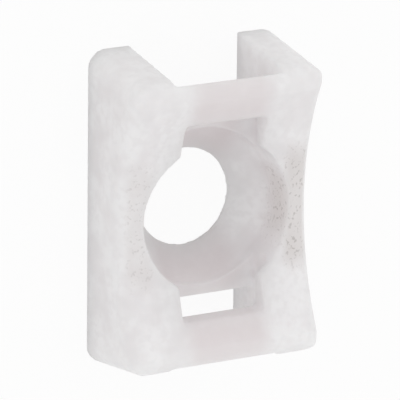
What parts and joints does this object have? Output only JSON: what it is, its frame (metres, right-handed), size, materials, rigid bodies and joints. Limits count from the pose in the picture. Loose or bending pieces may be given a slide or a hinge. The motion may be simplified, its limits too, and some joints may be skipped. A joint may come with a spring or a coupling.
{
  "type": "cable tie mount",
  "caption": "Screw-on saddle mount for a cable tie, one moulded piece of natural nylon with a round cradle.",
  "frame": {"origin": "centre of the flat underside, on the screw hole's axis", "axes": "+Z along the screw, up from the underside into the cradle; +X along the cable tie, the long way; +Y across the tie, along the cables"},
  "size_m": [0.023, 0.015, 0.0076],
  "materials": {
    "natural_nylon": "satin"
  },
  "bodies": {
    "root": {"saddle_mount": "natural_nylon"}
  },
  "joints": []
}
